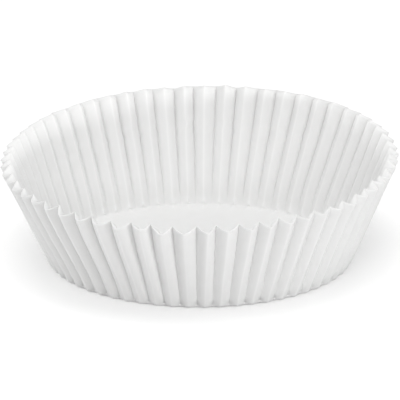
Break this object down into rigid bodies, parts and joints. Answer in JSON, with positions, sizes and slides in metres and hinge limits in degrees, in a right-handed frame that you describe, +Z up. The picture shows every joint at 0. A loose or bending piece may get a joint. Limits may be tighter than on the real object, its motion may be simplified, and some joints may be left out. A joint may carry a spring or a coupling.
{
  "type": "cupcake liner",
  "caption": "Round pleated paper baking case with a flat floor and a low wall that flares out to a zigzag rim.",
  "frame": {"origin": "centre of the floor's underside, on the surface that the case stands on", "axes": "+Z up along the axis of the round case, towards the open rim; an outer fold lies on +X and on +Y"},
  "size_m": [0.067, 0.067, 0.0178],
  "materials": {
    "paper": "smooth white greaseproof paper, matt with a faint sheen"
  },
  "bodies": {
    "root": {"liner": "paper"}
  },
  "joints": []
}
